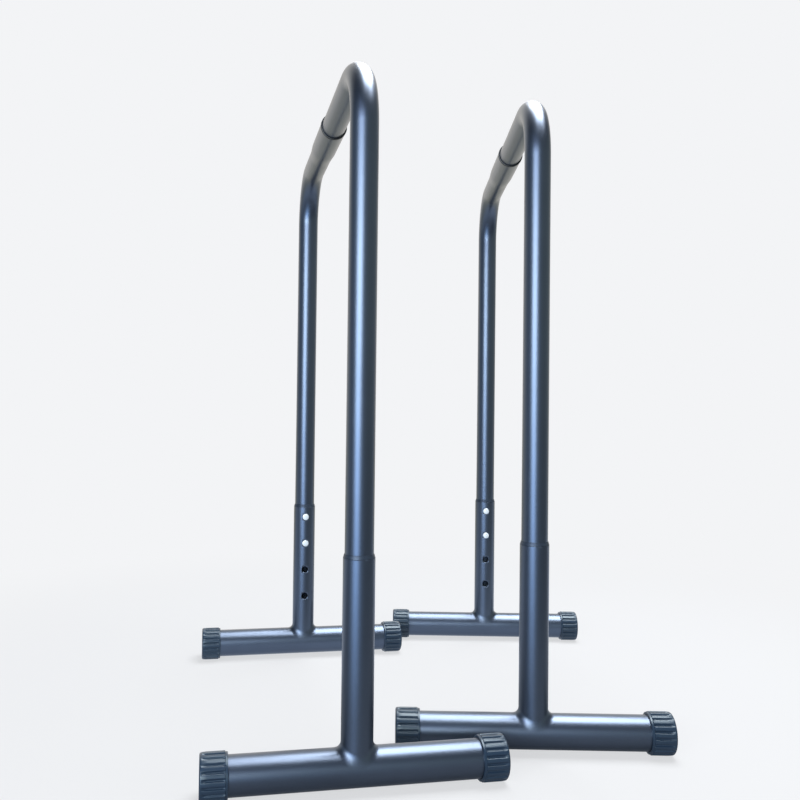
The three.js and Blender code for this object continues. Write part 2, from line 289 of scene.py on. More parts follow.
def end_matrix(end):
    """What is modelled at the front is turned round to the rear."""
    return Matrix.Rotation(math.pi if end == "rear" else 0.0, 4, "Z")


BODY_OF_NODE = {
    node: body
    for body, nodes in frame["record"]["behaviour"]["bodies"].items()
    for node in nodes
}


def place_copy(model, name, node, matrix, material, bend=None):
    """Puts a copy of a model in its place, on its node's body and its finish.

    A springy piece is passed a bend: the node that its far side moves with, and where the bending
    starts and ends in the model. Such a piece is only fixed in place, on no body, and the bend's
    contents are not used."""
    mesh = model.data.copy()
    mesh.transform(matrix)
    mesh.name = name
    mesh.materials.clear()
    mesh.materials.append(material)
    piece = bpy.data.objects.new(name, mesh)
    bpy.context.scene.collection.objects.link(piece)
    if bend:
        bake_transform(piece)
    else:
        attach(piece, BODY_OF_NODE[node])
    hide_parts(node)


# Materials

# The size of the slow drift in a surface's colour
DRIFT = 60 * MM
# Nearly all values of a noise lie between these two
NOISE_LOW = 0.3
NOISE_HIGH = 0.7


def empty_tree(owner):
    """The node tree of a material or a world, with nothing in it."""
    owner.use_nodes = True
    owner.node_tree.nodes.clear()
    return owner.node_tree


def add_node(tree, kind, settings, inputs):
    """Adds a node. An input is a value, or a pair of a node and the name of its output."""
    node = tree.nodes.new(kind)
    for name, value in settings.items():
        setattr(node, name, value)
    for name, value in inputs.items():
        if isinstance(value, tuple) and isinstance(value[0], bpy.types.Node):
            tree.links.new(value[0].outputs[value[1]], node.inputs[name])
        else:
            node.inputs[name].default_value = value
    return node


def calculate(tree, operation, *values):
    """What a math node makes of its values."""
    settings = {"operation": operation}
    return add_node(tree, "ShaderNodeMath", settings, dict(enumerate(values))), "Value"


def scaled(colour, factor):
    """A linear colour made lighter or darker."""
    return (*[min(1.0, channel * factor) for channel in colour[:3]], 1.0)


def surface_material(name, colour_name, spread, grain_mm, relief_mm, rough, shine):
    """A surface whose colour and roughness drift with a grain, with a relief of the same grain.

    spread is the share by which the colour changes, rough is a pair of roughness limits and shine
    holds the values that are the same all over the surface."""
    found = bpy.data.materials.get(name)
    if found:
        return found
    colour = getattr(bpy.context.scene.dip_station_colours, colour_name)
    material = bpy.data.materials.new(name)
    tree = empty_tree(material)
    place = add_node(tree, "ShaderNodeTexCoord", {}, {})
    grain = add_node(tree, "ShaderNodeTexNoise", {}, {
        "Vector": (place, "Object"), "Scale": 1 / (grain_mm * MM),
        "Detail": 3.0, "Roughness": 0.55,
    })
    drift = add_node(tree, "ShaderNodeTexNoise", {}, {
        "Vector": (place, "Object"), "Scale": 1 / DRIFT, "Detail": 2.0,
    })
    share = add_node(tree, "ShaderNodeMapRange", {}, {
        "Value": calculate(tree, "ADD", (grain, "Fac"), (drift, "Fac")),
        "From Min": 2 * NOISE_LOW, "From Max": 2 * NOISE_HIGH,
    })
    tint = add_node(tree, "ShaderNodeMix", {"data_type": "RGBA"}, {
        0: (share, "Result"), 6: scaled(colour, 1 - spread), 7: scaled(colour, 1 + spread),
    })
    roughness = add_node(tree, "ShaderNodeMapRange", {}, {
        "Value": (grain, "Fac"), "From Min": NOISE_LOW, "From Max": NOISE_HIGH,
        "To Min": rough[0], "To Max": rough[1],
    })
    relief = add_node(tree, "ShaderNodeBump", {}, {
        "Height": (grain, "Fac"), "Distance": relief_mm * MM, "Strength": 1.0,
    })
    shader = add_node(tree, "ShaderNodeBsdfPrincipled", {}, {
        "Base Color": (tint, 2), "Roughness": (roughness, "Result"),
        "Normal": (relief, "Normal"), **shine,
    })
    add_node(tree, "ShaderNodeOutputMaterial", {}, {"Surface": (shader, "BSDF")})
    return material


def paint_material():
    """Metallic powder coat under a clear coat: dark blue-grey. It mirrors lamps softly and turns
    pale where it is seen at a slant. Its flakes are finer than 0.1 mm, and are drawn at 1.5 mm."""
    return surface_material(
        "metallic_powder_coat", "paint",
        spread=0.06, grain_mm=1.5, relief_mm=0.004, rough=(0.35, 0.41),
        shine={"Metallic": 1.0, "Coat Weight": 0.6, "Coat Roughness": 0.35, "Coat IOR": 1.5},
    )


def rubber_material():
    """Moulded PVC rubber: dark blue, with a fine spark-eroded grain under a thin oily skin that
    shines a cold, pale green-blue."""
    return surface_material(
        "moulded_pvc", "rubber",
        spread=0.1, grain_mm=0.9, relief_mm=0.004, rough=(0.34, 0.42),
        shine={
            "Metallic": 0.0, "IOR": 1.53, "Specular Tint": linear("#c8e2ec"),
            "Coat Weight": 0.4, "Coat Roughness": 0.32, "Coat IOR": 1.5,
        },
    )


def ring_material():
    """Moulded polypropylene: near black, with a soft shine."""
    return surface_material(
        "moulded_polypropylene", "ring",
        spread=0.1, grain_mm=0.8, relief_mm=0.01, rough=(0.38, 0.48),
        shine={"Metallic": 0.0, "IOR": 1.49},
    )


def bush_material():
    """Moulded nylon filled with metal flake, so that it passes for the paint beside it."""
    return surface_material(
        "moulded_nylon", "bush",
        spread=0.08, grain_mm=0.8, relief_mm=0.01, rough=(0.38, 0.46),
        shine={"Metallic": 0.7, "IOR": 1.53},
    )


def button_material():
    """Nickel-plated steel: bright, near white, with the faintest tumbling marks."""
    return surface_material(
        "nickel_plated_steel", "button",
        spread=0.03, grain_mm=0.7, relief_mm=0.004, rough=(0.6, 0.68), shine={"Metallic": 1.0},
    )


def spring_material():
    """Hardened spring steel: grey, rolled, half dull."""
    return surface_material(
        "spring_steel", "spring",
        spread=0.08, grain_mm=0.6, relief_mm=0.006, rough=(0.3, 0.42), shine={"Metallic": 1.0},
    )


def screw_material():
    """Black oxide steel: a thin dark skin that still shines like metal."""
    return surface_material(
        "black_oxide_steel", "screw",
        spread=0.1, grain_mm=0.6, relief_mm=0.006, rough=(0.36, 0.48), shine={"Metallic": 0.8},
    )


# Pieces

TUBE_SIDES = 128
SMALL_SIDES = 64
BEND_STEPS = 32
SWAGE_STEPS = 16
FILLET_STEPS = 10
NOSE_STEPS = 6
DOME_STEPS = 12
LEAF_BEND_STEPS = 24
STEPS_PER_RIB = 20
# How far from a bend, a hole or a groove's end a ring keeps the shading of the rest straight
GUARD = 1.5 * MM


def rings_at_holes(count):
    """Heights just below and above each of the upper holes, from the lowest up."""
    sizes = sizes_now()
    aside = sizes.hole_diameter / 2 + GUARD
    heights = []
    for index in reversed(range(count)):
        middle = sizes.top_hole - index * sizes.hole_pitch
        heights += [middle - aside, middle + aside]
    return heights


def bent_half(name, side):
    """The leg and the bend of one half as an open skin, with the ring at the bend's end selected.

    side is -1 for the front half and 1 for the rear half."""
    sizes = sizes_now()
    leg = side * sizes.leg_distance / 2
    bend_y = leg - side * sizes.bend_radius
    bend_z = sizes.handle_height - sizes.bend_radius
    piece = start_piece(
        bpy.ops.mesh.primitive_circle_add, name, vertices=TUBE_SIDES,
        radius=sizes.tube_diameter / 2, location=(0, leg, sizes.leg_bottom),
    )
    heights = [sizes.leg_bottom, *rings_at_holes(len(BUTTONS)), bend_z - GUARD, bend_z]
    for low, high in zip(heights, heights[1:]):
        extrude_by(Z_AXIS * (high - low))
    bpy.ops.mesh.spin(
        steps=BEND_STEPS, angle=side * math.pi / 2, center=(0, bend_y, bend_z), axis=(-1, 0, 0),
    )
    return piece


def cut_button_holes(piece, side):
    """Cuts the two holes that the snap buttons reach through, in the leg's inner face."""
    sizes = sizes_now()
    leg = side * sizes.leg_distance / 2
    for index in range(len(BUTTONS)):
        start = Vector((0, leg, sizes.top_hole - index * sizes.hole_pitch))
        cut_hole(piece, "Y", start, -side * sizes.sleeve_diameter, sizes.hole_diameter / 2)


def front_half_model():
    """The front half: leg, bend, handle and the plug that goes into the socket."""
    sizes = sizes_now()
    piece = bent_half("front_half_model", -1)
    bend_end = -sizes.leg_distance / 2 + sizes.bend_radius
    extrude_by(Y_AXIS * GUARD)
    extrude_by(Y_AXIS * (sizes.plug_end - bend_end - GUARD))
    wall(piece, sizes.tube_wall)
    cut_button_holes(piece, -1)
    return piece


def rear_half_model():
    """The rear half: leg, bend and handle, swaged wider into the socket at its open end."""
    sizes = sizes_now()
    piece = bent_half("rear_half_model", 1)
    bend_end = sizes.leg_distance / 2 - sizes.bend_radius
    axis_start = Vector((0, 0, sizes.handle_height))
    swage_end = sizes.swage_start + sizes.swage_length
    tube, socket = sizes.tube_diameter / 2, sizes.socket_diameter / 2
    profile = [(tube, bend_end), (tube, bend_end - GUARD), (tube, swage_end + GUARD)]
    for step in range(SWAGE_STEPS + 1):
        share = step / SWAGE_STEPS
        rise = share * share * (3 - 2 * share)
        profile.append((tube + (socket - tube) * rise, swage_end - sizes.swage_length * share))
    profile += [(socket, sizes.swage_start - GUARD), (socket, -sizes.socket_mouth)]
    run_profile("Y", axis_start, profile)
    wall(piece, sizes.socket_wall)
    cut_button_holes(piece, 1)
    return piece


# Between a ring's skirt and the tubes inside and outside it
SKIRT_GAP = 0.15 * MM
# How far in from both faces the middle of a rounded edge lies, as a share of its radius
ROUND_MIDDLE = 0.3


def ring_profile(collar, wide, height, skirt, rounding, foot_rounding):
    """The closed profile of a collar with a thin skirt below it, from the collar's top inside.

    collar is the radius at the top and wide the radius at the bottom."""
    sizes = sizes_now()
    inner = sizes.tube_diameter / 2 + SKIRT_GAP
    outer = sizes.guide_bore / 2 - SKIRT_GAP
    return [
        (inner, height),
        (inner, -skirt),
        (outer, -skirt),
        (outer, 0),
        (wide - foot_rounding, 0),
        (wide - foot_rounding * ROUND_MIDDLE, foot_rounding * ROUND_MIDDLE),
        (wide, foot_rounding),
        (collar, height - rounding),
        (collar - rounding * ROUND_MIDDLE, height - rounding * ROUND_MIDDLE),
        (collar - rounding, height),
        (inner, height),
    ]


def joint_ring_model():
    """The black ring between the front tube and the socket's mouth."""
    sizes = sizes_now()
    radius, edge = sizes.ring_diameter / 2, 0.7 * MM
    profile = ring_profile(radius, radius, sizes.ring_width, sizes.skirt_length, edge, edge)
    mouth = -sizes.socket_mouth - FIT_GAP
    turned = [(r, -h) for r, h in profile]
    centre = Vector((0, mouth, sizes.handle_height))
    return turned_piece("joint_ring_model", TUBE_SIDES, "Y", centre, turned, ring=True)


def joint_screw_model():
    """The pan-head screw that locks the plug in the socket, with a hexagon socket in its head."""
    sizes = sizes_now()
    seat = sizes.socket_diameter / 2 + FIT_GAP
    centre = Vector((0, sizes.screw_place, sizes.handle_height + seat))
    shank, head, top = 3 * MM, 5.5 * MM, sizes.screw_height
    edge = 0.3 * MM
    # The shank's end, the shank, the head's lower edge, its side and its rounded top
    profile = [
        (shank * 0.8, -7 * MM), (shank, -6.4 * MM),
        (shank, 0), (head - edge, 0),
        (head, edge), (head, top * 0.35),
        (head * 0.95, top * 0.6), (head * 0.84, top * 0.8), (head * 0.68, top * 0.93),
        (head * 0.55, top),
    ]
    piece = turned_piece("joint_screw_model", SMALL_SIDES, "Z", centre, profile)
    # The hexagon starts above the head and goes down through 0.6 of its height
    cut_hole(piece, "Z", centre + Z_AXIS * top * 2, -top * 1.6, head * 0.42, sides=6)
    shade()
    return piece


# How far above the foot's axis a sleeve's plain tube ends
PLAIN_TUBE_END = 60 * MM
# How far the weld's last row lies under the foot's surface
WELD_TUCK = 0.7 * MM


def fillet_point(turn, share):
    """A point of the weld's hollow fillet, from the sleeve's side at share 0 to the toe at share 1.

    turn goes round the sleeve, and heights count from the foot's axis. The toe is on the foot."""
    sizes = sizes_now()
    foot = sizes.foot_diameter / 2
    sleeve = sizes.sleeve_diameter / 2
    across, along = sleeve * math.sin(turn), sleeve * math.cos(turn)
    lean = math.asin(across / foot)
    outward = Vector((math.cos(turn), math.sin(turn), 0))
    normal = Vector((0, math.sin(lean), math.cos(lean)))
    outward = (outward - normal * outward.dot(normal)).normalized()
    round_foot = Vector((0, math.cos(lean), -math.sin(lean)))
    aside = sizes.weld_leg * (1 - math.cos(share * math.pi / 2))
    lift = sizes.weld_leg * (1 - math.sin(share * math.pi / 2))
    reached = lean + aside * outward.dot(round_foot) / foot
    return Vector((
        along + aside * outward.x,
        foot * math.sin(reached),
        foot * math.cos(reached) + lift,
    ))


def sleeve_model():
    """A sleeve: rim, long tube, and the hollow fillet of its weld on the foot tube."""
    sizes = sizes_now()
    leg = -sizes.leg_distance / 2
    foot_z = middle_of("left_front_foot_tube").z
    radius, foot = sizes.sleeve_diameter / 2, sizes.foot_diameter / 2
    top, edge = sizes.sleeve_top, 0.35 * MM
    piece = start_piece(
        bpy.ops.mesh.primitive_circle_add, "sleeve_model", vertices=TUBE_SIDES,
        radius=radius - edge, location=(0, leg, top),
    )
    run_profile("Z", Vector((0, leg, 0)), [(radius - edge, top), (radius, top - edge)])
    hole_rings = reversed(rings_at_holes(sizes.hole_count))
    heights = [top - edge, *hole_rings, foot_z + PLAIN_TUBE_END]
    for high, low in zip(heights, heights[1:]):
        extrude_by(Z_AXIS * (low - high))
    for step in range(FILLET_STEPS + 2):
        shrink = 1 - WELD_TUCK / foot if step > FILLET_STEPS else 1.0
        extrude_by((0, 0, 0))
        body = bmesh.from_edit_mesh(piece.data)
        for vertex in body.verts:
            if vertex.select:
                turn = math.atan2(vertex.co.y - leg, vertex.co.x)
                spot = fillet_point(turn, min(1.0, step / FILLET_STEPS))
                spot.y *= shrink
                spot.z *= shrink
                vertex.co = spot + Vector((0, leg, foot_z))
        bmesh.update_edit_mesh(piece.data)
    wall(piece, (sizes.sleeve_diameter - sizes.guide_bore) / 2, WELD_SMOOTH_DEGREES)
    for index in range(sizes.hole_count):
        start = Vector((0, leg, sizes.top_hole - index * sizes.hole_pitch))
        cut_hole(piece, "Y", start, sizes.sleeve_diameter, sizes.hole_diameter / 2)
    return piece


def bush_model():
    """The tapered collar that guides the leg in the sleeve's mouth."""
    sizes = sizes_now()
    rim_gap, taper, skirt = 0.05 * MM, 1.4 * MM, 10.4 * MM
    top_edge, foot_edge = 0.25 * MM, 0.2 * MM
    centre = Vector((0, -sizes.leg_distance / 2, sizes.sleeve_top + rim_gap))
    wide = sizes.sleeve_diameter / 2
    height = sizes.bush_height + top_edge
    profile = ring_profile(wide - taper, wide, height, skirt, top_edge, foot_edge)
    return turned_piece("bush_model", TUBE_SIDES, "Z", centre, profile, ring=True)


def foot_tube_model():
    """The foot's tube, open at both ends inside its caps."""
    sizes = sizes_now()
    reach = sizes.foot_length / 2 - sizes.cap_end - FIT_GAP
    centre = Vector((0, -sizes.leg_distance / 2, middle_of("left_front_foot_tube").z))
    outer, edge = sizes.foot_diameter / 2, 0.3 * MM
    bore = outer - sizes.tube_wall
    profile = [
        (bore, -reach), (outer - edge, -reach), (outer, edge - reach),
        (outer, reach - edge), (outer - edge, reach), (bore, reach), (bore, -reach),
    ]
    return turned_piece("foot_tube_model", TUBE_SIDES, "X", centre, profile, ring=True)


# Where round a cap its first groove is
FIRST_GROOVE = math.radians(180 - 22.9)
# The shares of a groove's depth at each step away from its middle
GROOVE_PROFILE = (1.0, 1.0, 0.95, 0.72, 0.3, 0.06)
# How near to its distance along a cap a ring of vertices is taken for it
RING_TOLERANCE = 0.05 * MM


def end_cap_model():
    """The front foot's cap at high X: a ribbed cup with a rounded nose, which stands on the floor.

    The blank is one ring run along a profile, and its grooves are pressed in afterwards."""
    sizes = sizes_now()
    axis_z = middle_of("left_front_foot_tube").z
    leg = -sizes.leg_distance / 2
    start = Vector((sizes.foot_length / 2 - sizes.cap_length, leg, axis_z))
    radius, length = axis_z, sizes.cap_length
    nose, taper, lip = 2.8 * MM, 0.45 * MM, 0.4 * MM
    bore = sizes.foot_diameter / 2 + FIT_GAP
    rib_start, full_start, full_end = 3.4 * MM, 5 * MM, length - 8 * MM
    shoulder, rib_end = length - 5.5 * MM, length - nose
    # The collar, then the ribs, then the slope to the nose
    outside = [
        (radius - 2.2 * MM, 0), (radius - 1.6 * MM, 0.1 * MM), (radius - 1.2 * MM, 0.5 * MM),
        (radius - 1.2 * MM, 2.8 * MM), (radius - 0.9 * MM, 3 * MM), (radius, rib_start),
        (radius, full_start), (radius, full_start + GUARD), (radius, full_end - GUARD),
        (radius, full_end), (radius - taper * 0.4, shoulder), (radius - taper, rib_end),
    ]
    for step in range(1, NOSE_STEPS + 1):
        turn = math.pi / 2 * step / NOSE_STEPS
        outside.append((
            radius - taper - nose * (1 - math.cos(turn)),
            length - nose + nose * math.sin(turn),
        ))
    outside.append((outside[-1][0] - 1 * MM, length))
    inside = [(bore, length - sizes.cap_end), (bore, lip), (bore + lip, 0)]
    piece = start_piece(
        bpy.ops.mesh.primitive_circle_add, "end_cap_model",
        vertices=sizes.rib_count * STEPS_PER_RIB, radius=bore,
        location=start + X_AXIS * (length - sizes.cap_end), rotation=FACING["X"],
    )
    run_profile("X", start, [*inside, *outside])
    bpy.ops.mesh.select_all(action="SELECT")
    bpy.ops.mesh.fill_holes(sides=0)
    pitch = 2 * math.pi / sizes.rib_count
    # How much of the groove there is at each distance along the cap
    runs = {
        rib_start: 0.65, full_start: 1.0, full_start + GUARD: 1.0, full_end - GUARD: 1.0,
        full_end: 1.0, shoulder: 0.62, rib_end: 0.1,
    }
    for away, depth_share in enumerate(GROOVE_PROFILE):
        for distance, run_share in runs.items():
            def in_groove(spot):
                across, up = spot.y - start.y, spot.z - start.z
                on_inside = math.hypot(across, up) < bore + MM
                if on_inside or abs(spot.x - start.x - distance) > RING_TOLERANCE:
                    return False
                place = (math.atan2(up, across) - FIRST_GROOVE) / pitch
                return abs(round((place - round(place)) * STEPS_PER_RIB)) == away
            select_where(piece, in_groove)
            depth = sizes.groove_depth * depth_share * run_share
            widen(1 - depth / radius, "X", start)
    face_outwards()
    shade(CAP_SMOOTH_DEGREES)
    return piece


# The flange that keeps a button in its leg: its rim, its thickness and the gap outside it
FLANGE_RIM = 1.4 * MM
FLANGE_THICKNESS = 1 * MM
FLANGE_GAP = 0.5 * MM
# Between a button's flange and the spring behind it
LEAF_GAP = 0.1 * MM


def bore_reach(half_width):
    """How far from the leg's axis a flat face of this half width meets the leg's bore."""
    sizes = sizes_now()
    return math.sqrt((sizes.tube_diameter / 2 - sizes.tube_wall) ** 2 - half_width ** 2)


def button_flange_top():
    """How far the outer face of a button's flange is from the leg's axis."""
    sizes = sizes_now()
    return bore_reach(sizes.button_diameter / 2 + FLANGE_RIM) - FLANGE_GAP


def snap_button_model(height):
    """A snap button in the front leg: a flange in the leg and a domed pin through both tubes."""
    sizes = sizes_now()
    centre = Vector((0, -sizes.leg_distance / 2, height))
    pin, dome = sizes.button_diameter / 2, 0.7 * MM
    flange = pin + FLANGE_RIM
    flange_top = button_flange_top()
    tip = sizes.sleeve_diameter / 2 + sizes.button_reach
    shoulder = tip - dome
    profile = [
        (flange, flange_top - FLANGE_THICKNESS), (flange, flange_top),
        (pin, flange_top), (pin, shoulder),
    ]
    for step in range(1, DOME_STEPS):
        turn = math.pi / 2 * step / DOME_STEPS
        profile.append((pin * math.cos(turn), shoulder + (tip - shoulder) * math.sin(turn)))
    return turned_piece("snap_button_model", SMALL_SIDES, "Y", centre, profile)


def leaf_faces():
    """How far a leaf spring's front face and its back face are from the leg's axis."""
    sizes = sizes_now()
    front = button_flange_top() - FLANGE_THICKNESS - LEAF_GAP
    return front, bore_reach(sizes.leaf_width / 2) - FIT_GAP


def leaf_spring_model(height):
    """A U of spring strip in the front leg: its back rests on the leg's wall and its front carries
    the button."""
    sizes = sizes_now()
    leg = -sizes.leg_distance / 2
    front, back = leaf_faces()
    run = Z_AXIS * (sizes.leaf_rise + sizes.leaf_drop)
    start = Vector((0, leg - back + sizes.leaf_thickness / 2, height + sizes.leaf_rise))
    piece = start_piece(
        bpy.ops.mesh.primitive_plane_add, "leaf_spring_model",
        size=sizes.leaf_width, location=start,
    )
    bpy.ops.transform.resize(
        value=(1, sizes.leaf_thickness / sizes.leaf_width, 1), center_override=start,
    )
    bpy.ops.mesh.bevel(offset=0.25 * MM, segments=2, affect="VERTICES")
    bpy.ops.mesh.select_all(action="SELECT")
    extrude_by(-run)
    bpy.ops.mesh.spin(
        steps=LEAF_BEND_STEPS, angle=math.pi, axis=(-1, 0, 0),
        center=(0, leg + (front - back) / 2, height - sizes.leaf_drop),
    )
    extrude_by(run)
    face_outwards()
    shade()
    return piece


def place_pair(model, piece_name, node_name, material):
    """Puts a copy of a model in each stand."""
    for stand in STANDS:
        place_copy(
            model, f"{stand}_{piece_name}", f"{stand}_{node_name}",
            stand_matrix(stand), material,
        )
    bpy.data.objects.remove(model)


def place_ends(model, piece_name, node_name, material):
    """Puts a copy of a model at the front and at the rear of each stand."""
    for stand in STANDS:
        for end in ENDS:
            place_copy(
                model, f"{stand}_{end}_{piece_name}", f"{stand}_{end}_{node_name}",
                stand_matrix(stand) @ end_matrix(end), material,
            )
    bpy.data.objects.remove(model)


class DIPSTATION_OT_front_halves(bpy.types.Operator):
    """Models the front handle halves"""

    bl_idname = "dip_station.front_halves"
    bl_label = "Front handle halves"

    def execute(self, context):
        place_pair(
            front_half_model(), "front_half_tube", "front_handle_half",
            paint_material(),
        )
        return {"FINISHED"}


class DIPSTATION_OT_rear_halves(bpy.types.Operator):
    """Models the rear handle halves"""

    bl_idname = "dip_station.rear_halves"
    bl_label = "Rear handle halves"

    def execute(self, context):
        place_pair(
            rear_half_model(), "rear_half_tube", "rear_handle_half",
            paint_material(),
        )
        return {"FINISHED"}


class DIPSTATION_OT_joint_rings(bpy.types.Operator):
    """Models the black rings of the handle joints"""

    bl_idname = "dip_station.joint_rings"
    bl_label = "Joint rings"

    def execute(self, context):
        place_pair(
            joint_ring_model(), "joint_collar", "joint_ring",
            ring_material(),
        )
        return {"FINISHED"}


class DIPSTATION_OT_joint_screws(bpy.types.Operator):
    """Models the screws of the handle joints"""

    bl_idname = "dip_station.joint_screws"
    bl_label = "Joint screws"

    def execute(self, context):
        place_pair(
            joint_screw_model(), "lock_screw", "joint_screw",
            screw_material(),
        )
        return {"FINISHED"}


class DIPSTATION_OT_sleeves(bpy.types.Operator):
    """Models the sleeves and their welds"""

    bl_idname = "dip_station.sleeves"
    bl_label = "Sleeves"

    def execute(self, context):
        place_ends(sleeve_model(), "sleeve_tube", "sleeve", paint_material())
        return {"FINISHED"}


class DIPSTATION_OT_bushes(bpy.types.Operator):
    """Models the guide bushes in the sleeves' mouths"""

    bl_idname = "dip_station.bushes"
    bl_label = "Guide bushes"

    def execute(self, context):
        place_ends(bush_model(), "guide_bush", "bush", bush_material())
        return {"FINISHED"}


class DIPSTATION_OT_foot_tubes(bpy.types.Operator):
    """Models the foot tubes"""

    bl_idname = "dip_station.foot_tubes"
    bl_label = "Foot tubes"

    def execute(self, context):
        place_ends(foot_tube_model(), "foot_bar", "foot_tube", paint_material())
        return {"FINISHED"}


class DIPSTATION_OT_end_caps(bpy.types.Operator):
    """Models the ribbed end caps"""

    bl_idname = "dip_station.end_caps"
    bl_label = "End caps"

    def execute(self, context):
        distance = sizes_now().leg_distance
        model = end_cap_model()
        to_middle = Matrix.Translation((0, distance / 2, 0))
        for stand in STANDS:
            for end in ENDS:
                there = Matrix.Translation((0, distance / 2 * (1 if end == "rear" else -1), 0))
                for hand in ("left", "right"):
                    turn = Matrix.Rotation(math.pi if hand == "left" else 0.0, 4, "Z")
                    matrix = stand_matrix(stand) @ there @ turn @ to_middle
                    place_copy(
                        model, f"{stand}_{end}_ribbed_cap_{hand}", f"{stand}_{end}_cap_{hand}",
                        matrix, rubber_material(),
                    )
        bpy.data.objects.remove(model)
        return {"FINISHED"}


class DIPSTATION_OT_snap_buttons(bpy.types.Operator):
    """Models the snap buttons"""

    bl_idname = "dip_station.snap_buttons"
    bl_label = "Snap buttons"

    def execute(self, context):
        sizes = sizes_now()
        for index, level in enumerate(BUTTONS):
            model = snap_button_model(sizes.top_hole - index * sizes.hole_pitch)
            place_ends(
                model, f"{level}_snap_pin", f"{level}_button", button_material(),
            )
        return {"FINISHED"}


class DIPSTATION_OT_leaf_springs(bpy.types.Operator):
    """Models the leaf springs, which stay unbent here; on the real stand their fronts give way with
    the buttons
    """

    bl_idname = "dip_station.leaf_springs"
    bl_label = "Leaf springs"

    def execute(self, context):
        sizes = sizes_now()
        leg = -sizes.leg_distance / 2
        front, back = leaf_faces()
        start = Vector((0, leg - back + sizes.leaf_thickness, 0))
        end = Vector((0, leg + front - sizes.leaf_thickness, 0))
        for index, level in enumerate(BUTTONS):
            model = leaf_spring_model(sizes.top_hole - index * sizes.hole_pitch)
            for stand in STANDS:
                for place in ENDS:
                    name = f"{stand}_{place}_{level}"
                    place_copy(
                        model, f"{name}_leaf", f"{name}_spring",
                        stand_matrix(stand) @ end_matrix(place), spring_material(),
                        bend=(f"{name}_button", start, end),
                    )
            bpy.data.objects.remove(model)
        return {"FINISHED"}


# The stage

# Where the key lamps stand, and the point near the left stand's front leg that they face
KEY_PLACE = (-1.86, -2.85)
KEY_TARGET = (-0.28, -0.3)
# Each lamp's name, place, target, width and height, watts and colour
LAMPS = (
    ("key_top", (*KEY_PLACE, 1.85), (*KEY_TARGET, 1.85), (2.3, 0.5), 14, "#aab2ff"),
    ("key_upper", (*KEY_PLACE, 1.175), (*KEY_TARGET, 1.175), (2.3, 0.85), 84, "#f8fffa"),
    ("key_lower", (*KEY_PLACE, 0.38), (*KEY_TARGET, 0.38), (2.1, 0.73), 23, "#b8d4ff"),
    ("top_softbox", (0.66, 0.25, 3.2), (0.66, 0.25, 0.0), (1.75, 2.5), 200, "#fbfdff"),
)
# The direction of the painted pool of light on the floor, along the key lamps' beam to the middle
# between the front legs
PAINTED_POOL_AXIS = Vector((0.58, 0.815, 0.0)).normalized()
# From where to where along and beside that direction the painted pool of light fades, and its full
# strength
PAINTED_POOL_FADE = (0.8, 2.6)
PAINTED_POOL_EDGE = (0.2, 0.9)
PAINTED_POOL_STRENGTH = 4.6
# From where to where along Y the floor's painted light in reflections changes, in metres
FLOOR_FRONT = (-0.05, 0.15)
FLOOR_REAR = (0.4, 1.4)
# The light that the floor and the backdrop throw on the object
FLOOR_LIGHT = 0.3
BACKDROP_LIGHT = 0.2
# The paper's share of the floor, which takes the shadow, where it fades, and how dark it is
SHADOW_SHARE = 0.3
SHADOW_FADE = (0.6, 1.6)
PAPER_SHADE = 0.54
FLOOR_SIZE = 16


def area_lamp(name, location, target, size, watts, colour):
    """A rectangular soft lamp that faces a target. size is its width and its height."""
    data = bpy.data.lights.new(name, "AREA")
    data.shape = "RECTANGLE"
    data.size, data.size_y = size
    data.energy = watts
    data.color = linear(colour)[:3]
    lamp = bpy.data.objects.new(name, data)
    bpy.context.scene.collection.objects.link(lamp)
    lamp.visible_camera = False
    lamp.location = location
    lamp.rotation_euler = (Vector(target) - Vector(location)).to_track_quat("-Z", "Y").to_euler()


def backdrop_level(tree, other):
    """How strongly a backdrop glows: fully for the eye, for reflections and for glass, and by the
    other value for the light that falls on the object."""
    path = add_node(tree, "ShaderNodeLightPath", {}, {})
    level = other
    for output in ("Is Camera Ray", "Is Transmission Ray", "Is Glossy Ray"):
        level = calculate(tree, "MAXIMUM", (path, output), level)
    return level


def backdrop_colour(tree, plain, mirrored):
    """The plain colour to the eye, and another one in reflections."""
    path = add_node(tree, "ShaderNodeLightPath", {}, {})
    colour = add_node(tree, "ShaderNodeMix", {"data_type": "RGBA"}, {
        0: (path, "Is Glossy Ray"), 6: plain, 7: mirrored,
    })
    return (colour, 2)


def share_along(tree, value, start, stop, first=0.0, last=1.0):
    """A smooth share that goes from the first value at the start to the last value at the stop."""
    return (add_node(tree, "ShaderNodeMapRange", {"interpolation_type": "SMOOTHSTEP"}, {
        "Value": value, "From Min": start, "From Max": stop, "To Min": first, "To Max": last,
    }), "Result")


def colour_between(tree, share, low, high):
    """A colour between two others."""
    return (add_node(tree, "ShaderNodeMix", {"data_type": "RGBA"}, {0: share, 6: low, 7: high}), 2)


def vector_math(tree, operation, output, *values):
    """What a vector math node makes of its values."""
    settings = {"operation": operation}
    return add_node(tree, "ShaderNodeVectorMath", settings, dict(enumerate(values))), output


